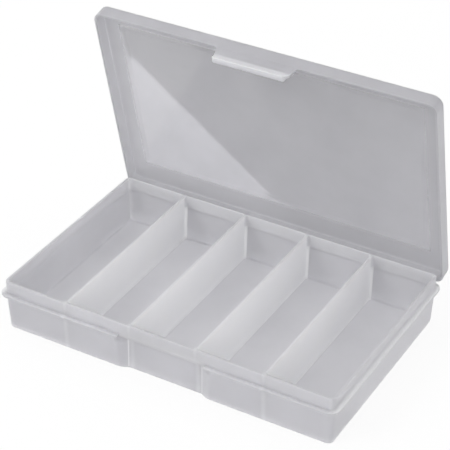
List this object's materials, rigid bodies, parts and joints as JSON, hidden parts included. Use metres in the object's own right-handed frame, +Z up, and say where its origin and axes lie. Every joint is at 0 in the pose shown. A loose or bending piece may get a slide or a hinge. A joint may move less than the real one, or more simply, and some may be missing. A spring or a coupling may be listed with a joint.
{
  "type": "hinged-lid compartment box",
  "caption": "Shallow translucent plastic storage box with a row of open compartments, a film-hinged lid standing open and a latch tongue.",
  "frame": {"origin": "centre of the tray's flat underside", "axes": "+X along the box's length to the right, +Y from the latch side to the hinge side, +Z up"},
  "size_m": [0.2052, 0.139, 0.1507],
  "materials": {
    "tray": "translucent natural polypropylene, satin moulded faces",
    "lid": "translucent natural polypropylene, glossy inner face"
  },
  "bodies": {
    "tray": {"tray": "tray"},
    "lid": {"lid": "lid"}
  },
  "joints": [
    {"name": "lid_hinge", "type": "hinge", "parent": "tray", "child": "lid", "pos_m": [0, 0.0652, 0.0227], "axis": [-1, 0, 0], "range_deg": [-76, 104]}
  ]
}
